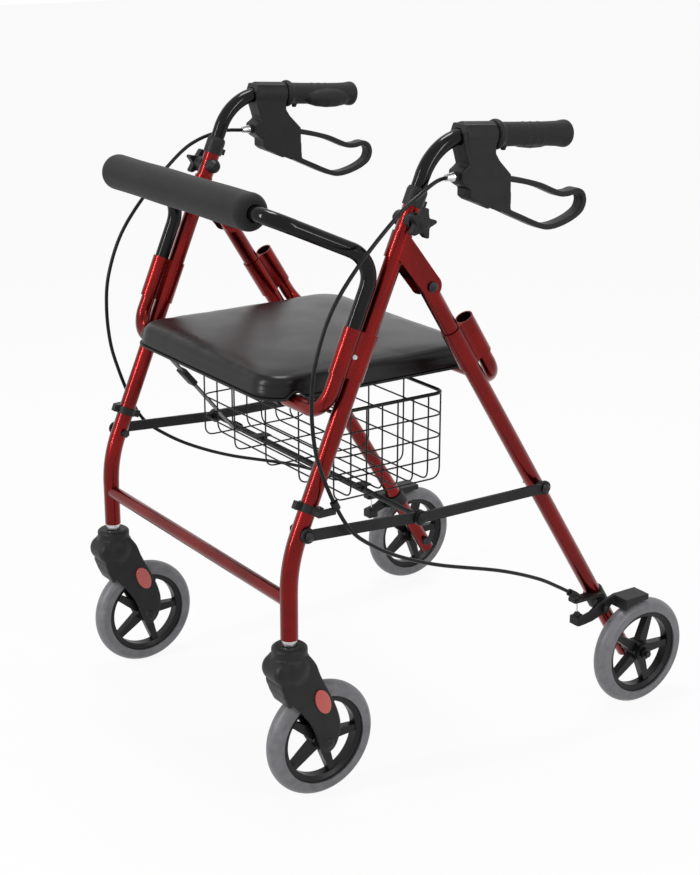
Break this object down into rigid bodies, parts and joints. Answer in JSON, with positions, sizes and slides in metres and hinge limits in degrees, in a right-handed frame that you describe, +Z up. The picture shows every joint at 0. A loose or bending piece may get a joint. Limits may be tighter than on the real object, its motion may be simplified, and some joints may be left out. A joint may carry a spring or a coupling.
{
  "type": "rollator walker",
  "caption": "Folding wheeled walking frame with swivel front casters, loop brakes, height-set handles, padded seat, backrest and wire basket.",
  "frame": {"origin": "on the floor, midway between the front and rear axles and on the plane of symmetry", "axes": "+Z up, +Y towards the user (rear), +X to the user's left"},
  "size_m": [0.589, 0.6616, 0.8285],
  "materials": {
    "red_paint": "metallic gloss",
    "black_paint": "gloss",
    "black_plastic": "satin",
    "zinc_steel": "zinc plated",
    "chrome": "polished",
    "webbing": "woven",
    "vinyl": "grained vinyl",
    "foam": "closed cell foam",
    "grip_rubber": "moulded",
    "reflector": "clear red",
    "tyre": "matte grey",
    "cable_jacket": "smooth"
  },
  "bodies": {
    "frame": {"front_frame": "red_paint", "top_brackets": "red_paint", "front_sleeves": "red_paint", "front_seat_tube": "red_paint", "leg_collars": "black_plastic", "cable_clips": "black_plastic", "frame_bolts": "zinc_steel", "knob_seats": "black_plastic", "caster_stems": "chrome", "stay_strap": "webbing", "cable_upper_l": "cable_jacket", "cable_upper_r": "cable_jacket", "cable_lower_l": "cable_jacket", "cable_lower_r": "cable_jacket"},
    "rear_frame": {"rear_legs": "red_paint", "rear_sleeves": "red_paint", "rear_seat_tube": "red_paint", "brake_brackets": "black_paint", "rear_axles": "zinc_steel"},
    "front_struts": {"front_links": "black_paint", "cross_rod": "black_paint"},
    "rear_struts": {"rear_links": "black_paint"},
    "basket": {"basket": "black_paint", "basket_clips": "black_plastic"},
    "seat": {"seat_pad": "vinyl", "seat_pan": "black_plastic", "seat_clips": "black_plastic"},
    "backrest": {"backrest_tube": "black_paint", "backrest_pad": "foam"},
    "handle_l": {"handle_tube_l": "black_paint", "grip_l": "grip_rubber", "housing_l": "black_plastic"},
    "cam_l": {"cam_l": "zinc_steel"},
    "lever_l": {"lever_l": "black_plastic"},
    "knob_l": {"knob_l": "black_plastic"},
    "caster_l": {"fork_l": "black_plastic", "reflectors_l": "reflector"},
    "front_wheel_l": {"front_hub_l": "black_plastic", "front_tyre_l": "tyre"},
    "rear_wheel_l": {"rear_hub_l": "black_plastic", "rear_tyre_l": "tyre"},
    "brake_arm_l": {"brake_arm_l": "black_paint"},
    "handle_r": {"handle_tube_r": "black_paint", "grip_r": "grip_rubber", "housing_r": "black_plastic"},
    "cam_r": {"cam_r": "zinc_steel"},
    "lever_r": {"lever_r": "black_plastic"},
    "knob_r": {"knob_r": "black_plastic"},
    "caster_r": {"fork_r": "black_plastic", "reflectors_r": "reflector"},
    "front_wheel_r": {"front_hub_r": "black_plastic", "front_tyre_r": "tyre"},
    "rear_wheel_r": {"rear_hub_r": "black_plastic", "rear_tyre_r": "tyre"},
    "brake_arm_r": {"brake_arm_r": "black_paint"}
  },
  "joints": [
    {"name": "fold", "type": "hinge", "parent": "frame", "child": "rear_frame", "pos_m": [0, -0.098, 0.6365], "axis": [-1, 0, 0], "range_deg": [0, 30], "deforming": ["cable_lower_l", "cable_lower_r", "stay_strap"]},
    {"name": "front_strut", "type": "hinge", "parent": "frame", "child": "front_struts", "pos_m": [0, -0.27924, 0.357], "axis": [1, 0, 0], "range_deg": [0, 50.48]},
    {"name": "rear_strut", "type": "hinge", "parent": "rear_frame", "child": "rear_struts", "pos_m": [0, 0.08492, 0.3455], "axis": [-1, 0, 0], "range_deg": [0, 36.47]},
    {"name": "basket_level", "type": "hinge", "parent": "front_struts", "child": "basket", "pos_m": [0, -0.115, 0.3465], "axis": [-1, 0, 0], "range_deg": [0, 50.48]},
    {"name": "seat_flip", "type": "hinge", "parent": "frame", "child": "seat", "pos_m": [0, -0.2469, 0.499], "axis": [1, 0, 0], "range_deg": [0, 80.5]},
    {"name": "backrest_lift", "type": "slide", "parent": "frame", "child": "backrest", "axis": [0, 0.3915, 0.9202], "range_m": [0, 0.045]},
    {"name": "handle_height_l", "type": "slide", "parent": "frame", "child": "handle_l", "axis": [0, 0.3915, 0.9202], "range_m": [0, 0.1524], "deforming": ["cable_upper_l"]},
    {"name": "brake_squeeze_l", "type": "hinge", "parent": "handle_l", "child": "cam_l", "pos_m": [0.235, -0.006, 0.752], "axis": [1, 0, 0], "range_deg": [0, 12], "stiffness_Nm_per_rad": 2, "springref_deg": -8.59},
    {"name": "brake_park_l", "type": "hinge", "parent": "cam_l", "child": "lever_l", "pos_m": [0.235, -0.006, 0.752], "axis": [1, 0, 0], "range_deg": [-16, 0]},
    {"name": "knob_turn_l", "type": "hinge", "parent": "frame", "child": "knob_l", "pos_m": [0.235, -0.12721, 0.719], "axis": [1, 0, 0], "continuous": true},
    {"name": "caster_swivel_l", "type": "hinge", "parent": "frame", "child": "caster_l", "pos_m": [0.235, -0.2972, 0.2], "axis": [0, 0, 1], "continuous": true},
    {"name": "front_roll_l", "type": "hinge", "parent": "caster_l", "child": "front_wheel_l", "pos_m": [0.235, -0.2542, 0.0762], "axis": [1, 0, 0], "continuous": true},
    {"name": "rear_roll_l", "type": "hinge", "parent": "rear_frame", "child": "rear_wheel_l", "pos_m": [0.271, 0.2542, 0.0762], "axis": [1, 0, 0], "continuous": true},
    {"name": "brake_arm_l", "type": "hinge", "parent": "rear_frame", "child": "brake_arm_l", "pos_m": [0.252, 0.2, 0.147], "axis": [-1, 0, 0], "range_deg": [0, 1.8]},
    {"name": "handle_height_r", "type": "slide", "parent": "frame", "child": "handle_r", "axis": [0, 0.3915, 0.9202], "range_m": [0, 0.1524], "deforming": ["cable_upper_r"]},
    {"name": "brake_squeeze_r", "type": "hinge", "parent": "handle_r", "child": "cam_r", "pos_m": [-0.235, -0.006, 0.752], "axis": [1, 0, 0], "range_deg": [0, 12], "stiffness_Nm_per_rad": 2, "springref_deg": -8.59},
    {"name": "brake_park_r", "type": "hinge", "parent": "cam_r", "child": "lever_r", "pos_m": [-0.235, -0.006, 0.752], "axis": [1, 0, 0], "range_deg": [-16, 0]},
    {"name": "knob_turn_r", "type": "hinge", "parent": "frame", "child": "knob_r", "pos_m": [-0.235, -0.12721, 0.719], "axis": [1, 0, 0], "continuous": true},
    {"name": "caster_swivel_r", "type": "hinge", "parent": "frame", "child": "caster_r", "pos_m": [-0.235, -0.2972, 0.2], "axis": [0, 0, 1], "continuous": true},
    {"name": "front_roll_r", "type": "hinge", "parent": "caster_r", "child": "front_wheel_r", "pos_m": [-0.235, -0.2542, 0.0762], "axis": [1, 0, 0], "continuous": true},
    {"name": "rear_roll_r", "type": "hinge", "parent": "rear_frame", "child": "rear_wheel_r", "pos_m": [-0.271, 0.2542, 0.0762], "axis": [1, 0, 0], "continuous": true},
    {"name": "brake_arm_r", "type": "hinge", "parent": "rear_frame", "child": "brake_arm_r", "pos_m": [-0.252, 0.2, 0.147], "axis": [-1, 0, 0], "range_deg": [0, 1.8]}
  ],
  "couplings": [
    {"joint": "front_strut", "follows": "fold", "ratio": 1.666},
    {"joint": "rear_strut", "follows": "fold", "ratio": 1.199},
    {"joint": "basket_level", "follows": "fold", "ratio": 1.666},
    {"joint": "seat_flip", "follows": "fold", "ratio": 2.6667},
    {"joint": "brake_arm_l", "follows": "brake_squeeze_l", "ratio": 0.14167},
    {"joint": "brake_arm_r", "follows": "brake_squeeze_r", "ratio": 0.14167}
  ]
}
